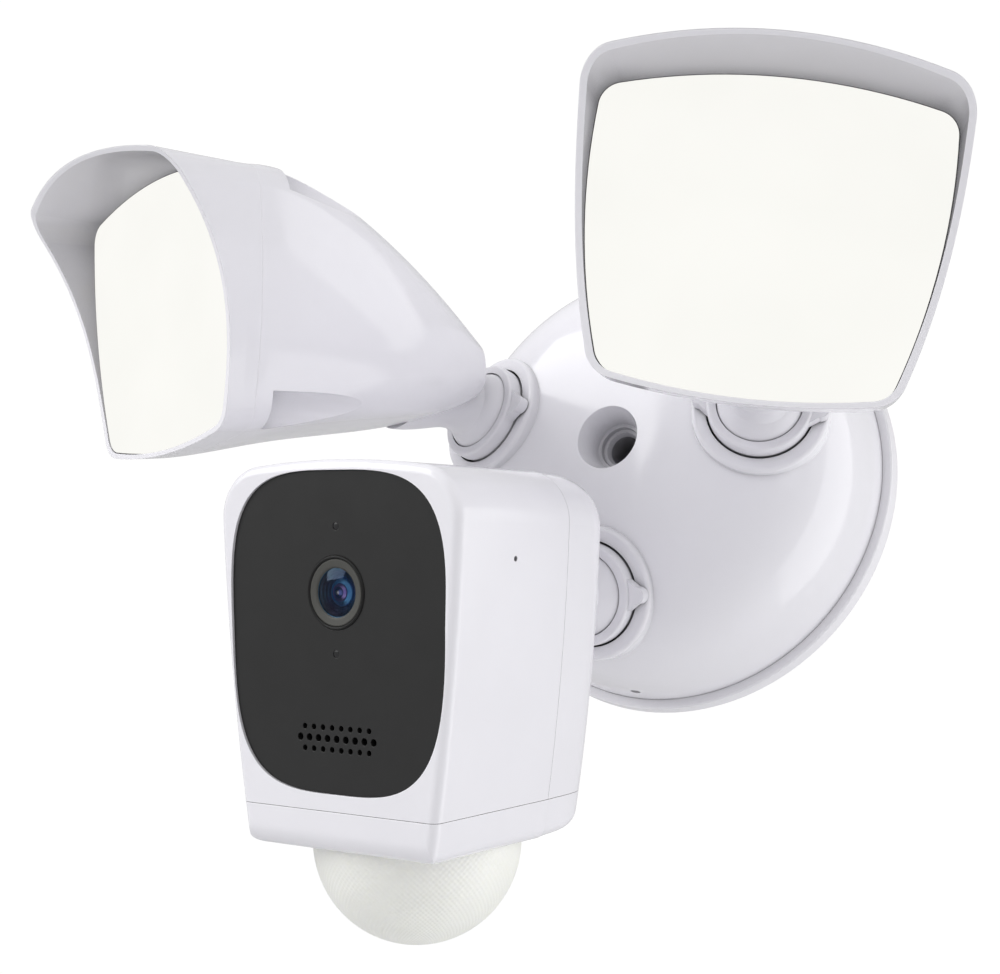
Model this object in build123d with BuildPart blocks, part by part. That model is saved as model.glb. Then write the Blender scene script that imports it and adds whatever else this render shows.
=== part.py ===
from build123d import *
import os
from math import cos, pi, radians, sin, sqrt

# Floodlight security camera for a wall: a domed base with the power supply, two lamps and a
# camera head, each on its own ball joint. Millimetres, +Z up. The wall is the plane y = 0, the
# object stands out from it towards -Y, and the origin is the centre of the base's rear face.

os.makedirs("parts", exist_ok=True)

# ---- base ----------------------------------------------------------------------------------
RIM_R = 70.0            # wall flange, covers a 4 inch junction box
GASKET_T = 1.5          # foam ring between the wall and the flange, as thick as the bracket
PLATE_T = 3.0
RIM_FRONT = 6.3         # how far the flange's rim stands out from the wall
RIM_GAP = 0.05          # between the flange's rim and the dome
DOME_R = 67.0
DOME_H = 57.3           # apex above the wall
DOME_SKIRT = 8.0        # straight part of the dome's side, above the wall
DOME_POWER = 3.3        # roundness of the dome's profile, 2 is an ellipse
DOME_WALL = 2.5
SEAT = GASKET_T + PLATE_T
BOLT_R = 2.75           # clearance for an M5 bolt
BOLT_HEAD_R = 4.6
BOLT_SEAT = 20.0        # where the bolt's head lands, above the wall
BOLT_MOUTH_R = 9.9
DRAIN_R = 1.6
DRAIN_Y = 15.3          # centre of the drain hole, above the wall
POST_RING = 55.5        # radius of the ring of posts that the dome is screwed down by
POST_R = 4.0
SCREW_R = 1.5
HEAD_R = 2.8
HEAD_H = 1.8
BOARD_Y = 11.0          # rear face of the power board, above the wall
BOARD_T = 1.6
BOX_SPACING = 88.9      # screw spacing of a round junction box

# ---- ball joints ---------------------------------------------------------------------------
BOSS_RADIUS = 46.4      # centre of each boss from the base's axis
BOSS_HEIGHT = 51.1
BOSS_TILT = 21.0        # outward lean of each boss, square to the dome there
LAMP_BOSS_RISE = 11.8   # lamp bosses stand this many degrees above level
BALL_R = 13.4
BALL_UP = 0.6           # ball centre above the boss line
COLLAR_R = 19.9
COLLAR_TOP = 1.9
COLLAR_ROUND = 1.2
BORE_R = 15.2
POCKET_R = 15.75
POCKET_FLOOR = -0.6
BARREL_R = 17.8
BARREL_FLOOR = -17.2
NUT_R = 15.2
NUT_SKIRT_R = 14.85
NUT_IN_R = 13.75
NUT_FOOT = -1.2         # the ring's skirt reaches down to this, its wider top starts at NUT_FLANGE
NUT_FLANGE = 2.2
NUT_TOP = 6.4
LIP_R = 12.5
CUP_OUT_R = 14.9
CUP_IN_R = 13.7
LUG_REACH = 19.8        # the lock rings' lugs stand level
LUG_TIP_R = 2.5
LUG_UP = 2.4            # the lugs clear the boss by half a millimetre
LUG_T = 3.2
LUG_ROOT = 5.2          # half width where the lug meets its ring
SEAL_RING_R = 15.42
WIRE_R = 4.0

# ---- lamps ---------------------------------------------------------------------------------
LAMP_TOP = 41.75        # half widths of the lit window at its corners
LAMP_BOTTOM = 33.8
LAMP_HALF_H = 33.5
LAMP_RISE = 5.9         # bows of the top, bottom and sides
LAMP_SAG = 3.4
LAMP_BULGE = 3.6
LAMP_CORNER = 6.0
HOOD_SIDE = 1.7         # how far the hood's outside stands off the window: sides, top and foot
HOOD_TOP = 1.2
HOOD_FOOT = 1.3
HOOD_DEPTH = 17.9       # how far the hood stands out at the window's top corners
HOOD_CURVE = 2.9        # how late the hood's side edge sweeps forward
HOOD_CREASE = -4.3      # the hood flares in front of this
HOOD_BACK = -8.3        # back of the hood's mounting flange
FLANGE_IN = -2.2        # how far the flange reaches in over the window
LENS_T = 3.5
SEAL_T = 0.8
BAY_BACK = -11.5        # step that the heat sink lands on
SINK_T = 3.0
LAMP_SCREW_R = 1.25
LAMP_HEAD_R = 2.2
LAMP_HEAD_H = 1.6
LAMP_POST_R = 2.5
LAMP_PIVOT = (0.0, -23.0, -113.1)
LAMP_NECK_LIFT = 17.0   # the neck leaves the ball this far above the lamp's own axis

# ---- camera head ---------------------------------------------------------------------------
HEAD_TOP = 39.6         # half widths of the head's front at its corners
HEAD_BOTTOM = 29.8
HEAD_HIGH = 39.5
HEAD_LOW = -54.6
HEAD_RISE = 3.2
HEAD_SAG = 0.3
HEAD_BULGE = 1.7
RIM_STEP = 0.7          # front frame stands this far proud of the black panel
HEAD_DEPTH = 68.0
REAR_SEAM = -46.0
BOTTOM_SEAM = -44.3
SEAM = 0.1
SHELL = 2.2
CHIN_R = 5.5            # roll of the front edge along the bottom
PANEL_HALF_W = 34.6
PANEL_TAPER = 1.5
PANEL_HALF_H = 39.9
PANEL_POWER = 3.47
PANEL_T = 2.0
LENS_U = 9.7
LENS_RING_R = 9.25
LENS_GLASS_R = 6.0
DOT_R = 1.0
DOT_U = (26.1, -5.4)
SPEAKER_U = -26.4
MIC_UP = 18.0
MIC_BACK = -22.9
PIR_R = 27.0
PIR_U = -55.2
PIR_F = -31.4
PIR_WALL = 1.3
HEAD_PIVOT = (0.0, 4.7, -112.4)

# ---- rest pose: yaw from straight ahead, dip below level, lean about the head's own axis ----
POSES = {
    "right_lamp": (23.1, 11.7, 0.2),
    "left_lamp": (-23.1, 16.6, -1.65),
    "camera": (-5.05, 19.35, -1.55),
}
BOSS_ANGLES = {"right_lamp": LAMP_BOSS_RISE, "left_lamp": 180.0 - LAMP_BOSS_RISE, "camera": -90.0}

FROM_WALL = Plane(origin=(0, 0, 0), x_dir=(1, 0, 0), z_dir=(0, -1, 0))
UP = (Align.CENTER, Align.CENTER, Align.MIN)
DOWN = (Align.CENTER, Align.CENTER, Align.MAX)


def save(piece, name):
    piece.part.label = name
    export_step(piece.part, f"parts/{name}.step")


def joint_plane(head):
    """Boss line of a ball joint: z runs outward along the boss, x is level."""
    angle = radians(BOSS_ANGLES[head])
    tilt = radians(BOSS_TILT)
    radial = Vector(cos(angle), 0, sin(angle))
    normal = radial * sin(tilt) + Vector(0, -cos(tilt), 0)
    level = Vector(0, 0, 1).cross(normal)
    return Plane(origin=radial * BOSS_RADIUS + Vector(0, -BOSS_HEIGHT, 0), x_dir=level, z_dir=normal)


def head_plane(head, pivot):
    """Frame of a head at rest: x to its side, y up, z forward, placed so that pivot is the ball."""
    yaw, dip, lean = (radians(value) for value in POSES[head])
    forward = Vector(sin(yaw) * cos(dip), -cos(yaw) * cos(dip), -sin(dip))
    level = Vector(cos(yaw), sin(yaw), 0)
    upward = forward.cross(level)
    side = level * cos(lean) + upward * sin(lean)
    upward = forward.cross(side)
    ball = joint_plane(head).offset(BALL_UP).origin
    origin = ball - side * pivot[0] - upward * pivot[1] - forward * pivot[2]
    return Plane(origin=origin, x_dir=side, z_dir=forward)


def bowed_quad(plane, top, bottom, high, low, bows, corners):
    """Four bowed edges with rounded corners. bows are the top, bottom and side bows."""
    rise, sag, bulge = bows
    middle = (top + bottom) / 2 + bulge
    level = (high + low) / 2
    with BuildSketch(plane) as quad:
        with BuildLine():
            ThreePointArc((-top, high), (0, high + rise), (top, high))
            ThreePointArc((top, high), (middle, level), (bottom, low))
            ThreePointArc((bottom, low), (0, low - sag), (-bottom, low))
            ThreePointArc((-bottom, low), (-middle, level), (-top, high))
        make_face()
        fillet(quad.vertices().group_by(Axis.Y)[-1], corners[0])
        fillet(quad.vertices().group_by(Axis.Y)[0], corners[1])
    return quad.sketch


# ============================================================================================
# Base
# ============================================================================================
def dome_profile(radius, height, seat):
    """Half section of a dome, between the base's axis and its outer side."""
    points = []
    for step in range(13):
        angle = step * pi / 24
        across = radius * cos(angle) ** (2 / DOME_POWER) if step < 12 else 0.0
        along = DOME_SKIRT + (height - DOME_SKIRT) * sin(angle) ** (2 / DOME_POWER)
        points.append((across, -along))
    with BuildSketch() as half:
        with BuildLine():
            Line((0, -seat), (radius, -seat))
            Line((radius, -seat), (radius, -DOME_SKIRT))
            Spline(points, tangents=[(0, -1), (-1, 0)])
            Line((0, -height), (0, -seat))
        make_face()
    return half.sketch


def make_dome():
    joints = [joint_plane(head) for head in POSES]
    with BuildPart() as dome:
        revolve(dome_profile(DOME_R, DOME_H, SEAT), Axis.Y)
        for joint in joints:
            with Locations(joint.offset(COLLAR_TOP)):
                Cylinder(COLLAR_R, 13, align=(Align.CENTER, Align.CENTER, Align.MAX))
        circles = dome.edges().filter_by(GeomType.CIRCLE)
        collar_edges = circles.filter_by(lambda e: abs(e.radius - COLLAR_R) < 0.01)
        fillet([edge for edge in collar_edges if edge.length > 2 * pi * COLLAR_R - 1], COLLAR_ROUND)
        revolve(dome_profile(DOME_R - DOME_WALL, DOME_H - DOME_WALL, SEAT), Axis.Y, mode=Mode.SUBTRACT)
        for joint in joints:
            with Locations(joint.offset(BARREL_FLOOR)):
                Cylinder(BARREL_R, COLLAR_TOP - BARREL_FLOOR - 1.5, align=UP)
        with Locations(FROM_WALL.offset(SEAT)):
            Cylinder(BOLT_MOUTH_R + 1.6, DOME_H - SEAT - 1, align=UP)
            with PolarLocations(POST_RING, 4, 45):
                Cylinder(POST_R, 34, align=UP)
        # seats for the balls, their lock rings and seals
        for joint in joints:
            with Locations(joint.offset(BALL_UP)):
                Sphere(BORE_R, mode=Mode.SUBTRACT)
            with Locations(joint.offset(-1.5)):
                Cylinder(BORE_R, 12, align=UP, mode=Mode.SUBTRACT)
            with Locations(joint.offset(POCKET_FLOOR)):
                Cylinder(POCKET_R, 9, align=UP, mode=Mode.SUBTRACT)
            with Locations(joint.offset(BARREL_FLOOR - 1)):
                Cylinder(6, 8, align=UP, mode=Mode.SUBTRACT)
        # stepped recess for the centre bolt
        with BuildSketch() as recess:
            with BuildLine():
                Polyline((0, -DOME_H - 1), (BOLT_MOUTH_R + 0.2, -DOME_H - 1), (BOLT_MOUTH_R, -DOME_H),
                         (7.4, -DOME_H + 9), (6.5, -DOME_H + 9), (6.3, -DOME_H + 10.5), (5.4, -DOME_H + 10.5),
                         (BOLT_HEAD_R, -DOME_H + 12), (BOLT_HEAD_R, -BOLT_SEAT), (BOLT_R, -BOLT_SEAT),
                         (BOLT_R, -SEAT + 1), (0, -SEAT + 1), close=True)
            make_face()
        revolve(recess.sketch, Axis.Y, mode=Mode.SUBTRACT)
        with Locations(FROM_WALL.offset(SEAT)):
            with PolarLocations(POST_RING, 4, 45):
                Cylinder(SCREW_R, 12, align=UP, mode=Mode.SUBTRACT)
        # drain hole at the lowest point of the side
        with Locations((0, -DRAIN_Y, -DOME_R)):
            Cylinder(DRAIN_R, 9, mode=Mode.SUBTRACT)
    save(dome, "base_dome")


def make_back_plate():
    with BuildPart() as plate:
        with Locations(FROM_WALL.offset(GASKET_T)):
            Cylinder(RIM_R, RIM_FRONT - GASKET_T, align=UP)
        with Locations(FROM_WALL.offset(SEAT)):
            Cylinder(DOME_R + RIM_GAP, RIM_FRONT, align=UP, mode=Mode.SUBTRACT)
        front_edges = plate.edges().filter_by(GeomType.CIRCLE).group_by(Axis.Y)[0]
        fillet(front_edges.sort_by(SortBy.RADIUS)[-1], 0.6)
        with Locations(FROM_WALL.offset(SEAT)):
            with GridLocations(70, 46, 2, 2):
                Cylinder(3.2, BOARD_Y - SEAT, align=UP)
                Cylinder(1.2, BOARD_Y - SEAT, align=UP, mode=Mode.SUBTRACT)
        with Locations(FROM_WALL):
            Cylinder(BOLT_R, SEAT + 1, align=UP, mode=Mode.SUBTRACT)
            with PolarLocations(POST_RING, 4, 45):
                Cylinder(SCREW_R, SEAT + 1, align=UP, mode=Mode.SUBTRACT)
                Cylinder(HEAD_R + 0.2, GASKET_T + HEAD_H, align=UP, mode=Mode.SUBTRACT)
            with Locations((0, -32)):
                Cylinder(9, SEAT + 1, align=UP, mode=Mode.SUBTRACT)
    save(plate, "back_plate")


def make_base_parts():
    with BuildPart() as gasket:
        with Locations(FROM_WALL):
            Cylinder(69, GASKET_T, align=UP)
            Cylinder(61, GASKET_T, align=UP, mode=Mode.SUBTRACT)
    save(gasket, "wall_gasket")

    with BuildPart() as bracket:
        with BuildSketch(FROM_WALL):
            SlotOverall(112, 22)
            with Locations((-BOX_SPACING / 2, 0), (BOX_SPACING / 2, 0)):
                Circle(2.4, mode=Mode.SUBTRACT)
            Circle(BOLT_R - 0.5, mode=Mode.SUBTRACT)
        extrude(amount=GASKET_T)
    save(bracket, "junction_box_bracket")

    with BuildPart() as screws:
        with Locations(FROM_WALL.offset(GASKET_T)):
            with PolarLocations(POST_RING, 4, 45):
                Cylinder(HEAD_R, HEAD_H, align=UP)
                Cylinder(SCREW_R, 13, align=UP)
    save(screws, "dome_screws")

    with BuildPart() as grommet:
        with Locations(FROM_WALL.offset(GASKET_T)):
            with Locations((0, -32)):
                Cylinder(9, PLATE_T, align=UP)
                Cylinder(4.5, 9, align=UP, mode=Mode.SUBTRACT)
        with Locations(FROM_WALL.offset(SEAT)):
            with Locations((0, -32)):
                Cylinder(11, 1.6, align=UP)
                Cylinder(4.5, 9, align=UP, mode=Mode.SUBTRACT)
    save(grommet, "supply_grommet")


def make_power_supply():
    top = BOARD_Y + BOARD_T
    with BuildPart() as board:
        with BuildSketch(FROM_WALL.offset(BOARD_Y)):
            RectangleRounded(84, 58, 3)
            Circle(BOLT_MOUTH_R + 2.4, mode=Mode.SUBTRACT)
            with GridLocations(70, 46, 2, 2):
                Circle(1.2, mode=Mode.SUBTRACT)
        extrude(amount=BOARD_T)
    save(board, "power_board")

    with BuildPart() as screws:
        with Locations(FROM_WALL.offset(top)):
            with GridLocations(70, 46, 2, 2):
                Cylinder(2.2, 1.4, align=UP)
        with Locations(FROM_WALL.offset(top - 7)):
            with GridLocations(70, 46, 2, 2):
                Cylinder(1.2, 7, align=UP)
    save(screws, "board_screws")

    with BuildPart() as transformer:
        with Locations(FROM_WALL.offset(top)):
            with Locations((-25, -10)):
                Box(22, 19, 5, align=UP)
                Box(17, 19, 16, align=UP)
                Box(22, 12, 14, align=UP)
    save(transformer, "transformer")

    with BuildPart() as capacitors:
        with Locations(FROM_WALL.offset(top)):
            with Locations((24, -15)):
                Cylinder(7.5, 16, align=UP)
            with Locations((12.5, -16), (-25, 14), (-34, 14)):
                Cylinder(4, 12, align=UP)
        fillet(capacitors.faces().sort_by(Axis.Y)[:1].edges(), 0.8)
    save(capacitors, "capacitors")

    with BuildPart() as relay:
        with Locations(FROM_WALL.offset(top)):
            with Locations((23, 12)):
                Box(19, 15, 14, align=UP)
        chamfer(relay.faces().sort_by(Axis.Y)[0].edges(), 0.6)
    save(relay, "lamp_relay")

    with BuildPart() as terminals:
        with Locations(FROM_WALL.offset(top)):
            with Locations((-2, -24)):
                Box(17, 8, 10, align=UP)
        with Locations(FROM_WALL.offset(top + 5)):
            with Locations((-2, -24)):
                with GridLocations(5.4, 1, 3, 1):
                    Cylinder(2, 5, align=UP, mode=Mode.SUBTRACT)
    save(terminals, "terminal_block")


# ============================================================================================
# Ball joints: a lock ring, a friction cup and a seal in each boss
# ============================================================================================
def beside(joint):
    """Plane through a joint's own axis: x outward from the axis, y along it."""
    return Plane(origin=joint.origin, x_dir=joint.x_dir, z_dir=joint.x_dir.cross(joint.z_dir))


def make_joint(head):
    joint = joint_plane(head)
    axis = Axis(joint.origin, joint.z_dir)
    lip_up = BALL_UP + sqrt(NUT_IN_R ** 2 - LIP_R ** 2)
    shoulder = 0.8
    with BuildSketch(beside(joint)) as section:
        with BuildLine():
            Polyline((NUT_IN_R, BALL_UP), (NUT_IN_R, NUT_FOOT), (NUT_SKIRT_R, NUT_FOOT),
                     (NUT_SKIRT_R, NUT_FLANGE), (NUT_R, NUT_FLANGE), (NUT_R, NUT_TOP - shoulder))
            RadiusArc((NUT_R, NUT_TOP - shoulder), (NUT_R - shoulder, NUT_TOP), -shoulder)
            Polyline((NUT_R - shoulder, NUT_TOP), (LIP_R, NUT_TOP), (LIP_R, lip_up))
            RadiusArc((LIP_R, lip_up), (NUT_IN_R, BALL_UP), NUT_IN_R)
        make_face()
    tip = LUG_REACH - LUG_TIP_R
    with BuildSketch(joint.offset(LUG_UP)) as lugs:
        with BuildLine():
            Polyline((tip, -LUG_TIP_R), (tip, LUG_TIP_R), (NUT_IN_R, LUG_ROOT), (-NUT_IN_R, LUG_ROOT),
                     (-tip, LUG_TIP_R), (-tip, -LUG_TIP_R), (-NUT_IN_R, -LUG_ROOT), (NUT_IN_R, -LUG_ROOT),
                     close=True)
        make_face()
        with Locations((tip, 0), (-tip, 0)):
            Circle(LUG_TIP_R)
        Circle(NUT_IN_R + 0.6, mode=Mode.SUBTRACT)
    with BuildPart() as ring:
        revolve(section.sketch, axis)
        extrude(lugs.sketch, amount=LUG_T, dir=joint.z_dir)
    save(ring, f"{head}_lock_ring")

    with BuildSketch(beside(joint)) as section:
        with BuildLine():
            outer = CenterArc((0, BALL_UP), CUP_OUT_R, -72, 37)
            inner = CenterArc((0, BALL_UP), CUP_IN_R, -72, 37)
            Line(outer @ 0, inner @ 0)
            Line(outer @ 1, inner @ 1)
        make_face()
    with BuildPart() as cup:
        revolve(section.sketch, axis)
    save(cup, f"{head}_friction_cup")


def make_joint_seals():
    with BuildPart() as seals:
        for head in POSES:
            with Locations(joint_plane(head).offset(POCKET_FLOOR + 0.32)):
                Torus(SEAL_RING_R, 0.3)
    save(seals, "joint_seals")


def neck_profile(plane, pivot, lift, stations, grow):
    """Half section of a neck, drawn beside its own axis in the head's middle plane."""
    _, up, back = pivot
    along = Vector(0, sin(radians(lift)), cos(radians(lift)))
    start = plane.from_local_coords(Vector(0, up, back))
    direction = plane.from_local_coords(Vector(0, up, back) + along) - start
    section = Plane(origin=start, x_dir=plane.x_dir, z_dir=plane.x_dir.cross(direction))
    with BuildSketch(section) as half:
        with BuildLine():
            first = stations[0][0]
            last = stations[-1][0]
            Line((0, first), (stations[0][1] + grow, first))
            Spline([(radius + grow, distance) for distance, radius in stations])
            Line((stations[-1][1] + grow, last), (0, last))
            Line((0, last), (0, first))
        make_face()
    return half.sketch, Axis(start, direction)


# ============================================================================================
# Lamps
# ============================================================================================
LAMP_NECK = [(9.0, 9.4), (12.5, 8.6), (16.0, 8.9), (20.5, 10.6), (26.0, 13.0), (33.0, 15.2)]
# screw recesses: centre and radius of the scoop, centre of its screw, where the screw's head lands
# and how far forward it reaches: the upper pair into the heat sink, the lower pair into the hood
SCOOPS = [
    ((36.5, 32.8), 7.2, (33.9, 29.3), -18.0, BAY_BACK + 2.5),
    ((-36.5, 32.8), 7.2, (-33.9, 29.3), -18.0, BAY_BACK + 2.5),
    ((35.6, -31.2), 6.4, (32.6, -28.5), -13.5, HOOD_BACK + 3.0),
    ((-35.6, -31.2), 6.4, (-32.6, -28.5), -13.5, HOOD_BACK + 3.0),
]
LOWER_SCOOPS = SCOOPS[2:]
FINS = 9

# how the housing tapers back: distance behind the window, half widths, corner heights, bows, corners
HOUSING = [
    (HOOD_BACK, 43.2, 35.4, 34.7, -34.6, (5.9, 3.3, 3.8), 8.2),
    (-26.0, 40.8, 34.6, 33.6, -31.9, (5.8, 2.8, 4.2), 11.0),
    (-48.0, 35.8, 31.6, 25.4, -28.6, (6.3, 2.3, 4.0), 13.0),
    (-70.0, 28.4, 27.0, 14.2, -25.8, (5.8, 2.3, 3.5), 13.0),
    (-88.0, 20.5, 21.0, 4.0, -22.6, (4.4, 1.5, 2.5), 11.0),
    (-101.0, 14.0, 14.0, -3.6, -17.5, (2.0, 1.0, 1.5), 6.0),
]
CAVITY_FRONT = (BAY_BACK, 42.9, 35.4, 34.6, -34.4, (5.9, 3.2, 4.0), 8.7)


def lamp_window(plane, grow, back):
    bows = (LAMP_RISE, LAMP_SAG, LAMP_BULGE)
    return bowed_quad(plane.offset(back), LAMP_TOP + grow, LAMP_BOTTOM + grow, LAMP_HALF_H + grow,
                      -LAMP_HALF_H - grow, bows, (LAMP_CORNER + grow,) * 2)


def hood_outline(plane, back):
    bows = (LAMP_RISE - 0.2, LAMP_SAG, LAMP_BULGE)
    return bowed_quad(plane.offset(back), LAMP_TOP + HOOD_SIDE, LAMP_BOTTOM + HOOD_SIDE,
                      LAMP_HALF_H + HOOD_TOP, -LAMP_HALF_H - HOOD_FOOT, bows, (LAMP_CORNER + HOOD_SIDE,) * 2)


def housing_sections(plane, shrink, stations):
    sections = []
    for back, top, bottom, high, low, bows, corner in stations:
        sections.append(bowed_quad(plane.offset(back), top - shrink, bottom - shrink, high - shrink,
                                   low + shrink, bows, (corner - shrink * 0.7,) * 2))
    return sections


def hood_cutter(plane):
    """Everything in front of the hood's swept edge, drawn from the side."""
    side = Plane(origin=plane.origin, x_dir=plane.z_dir, z_dir=plane.x_dir * -1)
    low = -LAMP_HALF_H - 12
    high = LAMP_HALF_H + 14
    edge = []
    for step in range(9):
        up = low + 12 + (high - low - 12) * step / 8
        share = max(0.0, (up + LAMP_HALF_H) / (2 * LAMP_HALF_H))
        edge.append((0.3 + HOOD_DEPTH * share ** HOOD_CURVE, up))
    with BuildSketch(side) as area:
        with BuildLine():
            Spline(edge)
            Polyline(edge[-1], (70, high), (70, low), (0.3, low), edge[0])
        make_face()
    return area.sketch


def make_lamp(head):
    plane = head_plane(head, LAMP_PIVOT)

    with BuildPart() as hood:
        loft(housing_sections(plane, 0, HOUSING[:1]) + [hood_outline(plane, HOOD_CREASE)])
        extrude(hood_outline(plane, HOOD_CREASE), amount=36, taper=-3)
        extrude(lamp_window(plane, FLANGE_IN, HOOD_BACK), amount=HOOD_CREASE - HOOD_BACK, mode=Mode.SUBTRACT)
        extrude(lamp_window(plane, 0.05, HOOD_CREASE), amount=36, taper=-3, mode=Mode.SUBTRACT)
        extrude(hood_cutter(plane), amount=70, both=True, mode=Mode.SUBTRACT)
        for scoop, radius, screw, seat, reach in LOWER_SCOOPS:
            with Locations(plane.offset(HOOD_BACK)):
                with Locations(screw):
                    Cylinder(LAMP_POST_R, HOOD_CREASE - HOOD_BACK, align=UP)
                    Cylinder(LAMP_SCREW_R, reach - HOOD_BACK, align=UP, mode=Mode.SUBTRACT)
    save(hood, f"{head}_hood")

    with BuildPart() as lens:
        extrude(lamp_window(plane, 0, -LENS_T), amount=LENS_T)
    save(lens, f"{head}_diffuser")

    with BuildPart() as seal:
        extrude(lamp_window(plane, 0, -LENS_T - SEAL_T), amount=SEAL_T)
        extrude(lamp_window(plane, -1.8, -LENS_T - SEAL_T), amount=SEAL_T, mode=Mode.SUBTRACT)
    save(seal, f"{head}_seal")

    with BuildPart() as cavity:
        loft(housing_sections(plane, 4.6, [CAVITY_FRONT] + HOUSING[1:5]))
        for scoop, radius, screw, seat, reach in SCOOPS:
            with Locations(plane.offset(BAY_BACK)):
                with Locations(scoop):
                    Cylinder(radius + 2, 60, align=DOWN, mode=Mode.SUBTRACT)

    neck_half, neck_axis = neck_profile(plane, LAMP_PIVOT, LAMP_NECK_LIFT, LAMP_NECK, 0.2)
    with BuildPart() as housing:
        loft(housing_sections(plane, 0, HOUSING))
        fillet(housing.faces().sort_by(Axis(plane.origin, plane.z_dir))[0].edges(), 3.2)
        add(cavity.part, mode=Mode.SUBTRACT)
        extrude(lamp_window(plane, FLANGE_IN, BAY_BACK), amount=HOOD_BACK - BAY_BACK, mode=Mode.SUBTRACT)
        revolve(neck_half, neck_axis, mode=Mode.SUBTRACT)
        for scoop, radius, screw, seat, reach in LOWER_SCOOPS:
            with Locations(plane.offset(seat)):
                with Locations(screw):
                    Cylinder(LAMP_POST_R, HOOD_BACK - seat, align=UP)
        for scoop, radius, screw, seat, reach in SCOOPS:
            with Locations(plane.offset(seat)):
                with Locations(scoop):
                    Cylinder(radius, 80, align=DOWN, mode=Mode.SUBTRACT)
                with Locations(screw):
                    Cylinder(LAMP_SCREW_R, 20, align=UP, mode=Mode.SUBTRACT)
    save(housing, f"{head}_housing")

    with BuildPart() as screws:
        for scoop, radius, screw, seat, reach in SCOOPS:
            with Locations(plane.offset(seat)):
                with Locations(screw):
                    Cylinder(LAMP_SCREW_R, reach - seat, align=UP)
                    Cylinder(LAMP_HEAD_R, LAMP_HEAD_H, align=DOWN)
    save(screws, f"{head}_housing_screws")

    with BuildPart() as sink:
        extrude(lamp_window(plane, FLANGE_IN - 0.25, BAY_BACK), amount=SINK_T)
        with Locations(plane.offset(BAY_BACK)):
            with GridLocations(6, 1, FINS, 1):
                Box(1.6, 40, 15, align=DOWN)
            for scoop, radius, screw, seat, reach in SCOOPS:
                clearance = LAMP_POST_R + 0.3 if reach > BAY_BACK + SINK_T else LAMP_SCREW_R
                with Locations(screw):
                    Cylinder(clearance, reach - BAY_BACK, align=UP, mode=Mode.SUBTRACT)
    save(sink, f"{head}_heat_sink")

    board_back = BAY_BACK + SINK_T
    with BuildPart() as board:
        extrude(lamp_window(plane, -4.5, board_back), amount=BOARD_T)
    save(board, f"{head}_led_board")

    with BuildPart() as leds:
        with Locations(plane.offset(board_back + BOARD_T)):
            with GridLocations(10, 11, 6, 5):
                Box(3.5, 2.8, 0.8, align=UP)
    save(leds, f"{head}_leds")

    neck_half, neck_axis = neck_profile(plane, LAMP_PIVOT, LAMP_NECK_LIFT, LAMP_NECK, 0)
    make_neck(f"{head}_neck", neck_half, neck_axis, LAMP_NECK[-1][0])


def make_neck(name, half, axis, reach):
    along = Plane(origin=axis.position, z_dir=axis.direction)
    with BuildPart() as neck:
        revolve(half, axis)
        with Locations(along):
            Sphere(BALL_R)
        with Locations(along.offset(-BALL_R - 1)):
            Cylinder(WIRE_R, BALL_R + reach + 2, align=UP, mode=Mode.SUBTRACT)
    save(neck, name)


# ============================================================================================
# Camera head
# ============================================================================================
# rounding of the rear shell: distance back, how far the outline draws in
REAR_STATIONS = [(REAR_SEAM, 0.0), (-57.0, 0.6), (-64.5, 2.6), (-HEAD_DEPTH, 7.5)]
CAMERA_NECK = [(9.0, 9.4), (13.0, 8.6), (20.0, 8.4), (31.0, 8.8), (38.0, 11.0), (41.0, 14.6)]
CAMERA_FLANGE_R = 15.0
SHELL_SCREWS = [(-24.0, 26.0), (24.0, 26.0), (-21.0, -34.0), (21.0, -34.0)]
RIB_REACH = (36.5, 31.6)    # where the upper and lower screw posts' ribs meet the side walls
BUTTON_AT = (-14.0, -22.0)
PIR_HOLE_R = 11.0
SHELL_SEAL_T = 1.4
SHELL_SEAL_W = 1.35
SHELL_SEAL_GAP = 0.25       # clear of the shells' inner walls


def head_outline(plane, back, shrink):
    """Outline of the head: a little smaller towards the rear, narrower at the bottom."""
    ease = -0.022 * min(back, 0.0)
    return bowed_quad(plane.offset(back), HEAD_TOP - ease - shrink, HEAD_BOTTOM - ease * 0.4 - shrink,
                      HEAD_HIGH - 1.6 * ease - shrink, HEAD_LOW + shrink, (HEAD_RISE, HEAD_SAG, HEAD_BULGE),
                      (13.0 - 0.6 * shrink, 3.4))


def panel_outline(plane, back, grow):
    points = []
    for step in range(32):
        angle = step * pi / 16
        c = cos(angle)
        v = sin(angle)
        rise = (abs(v) ** (2 / PANEL_POWER)) * (1 if v >= 0 else -1)
        across = (abs(c) ** (2 / PANEL_POWER)) * (1 if c >= 0 else -1)
        points.append(((PANEL_HALF_W + grow + PANEL_TAPER * rise) * across, (PANEL_HALF_H + grow) * rise))
    with BuildSketch(plane.offset(back)) as outline:
        with BuildLine():
            Spline(points, periodic=True)
        make_face()
    return outline.sketch


def side_of(across):
    return 1 if across > 0 else -1


def above(plane, level):
    """Cutting plane across the head at a height, facing up."""
    return Plane(origin=plane.from_local_coords((0, level, 0)), z_dir=plane.y_dir)


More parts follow.
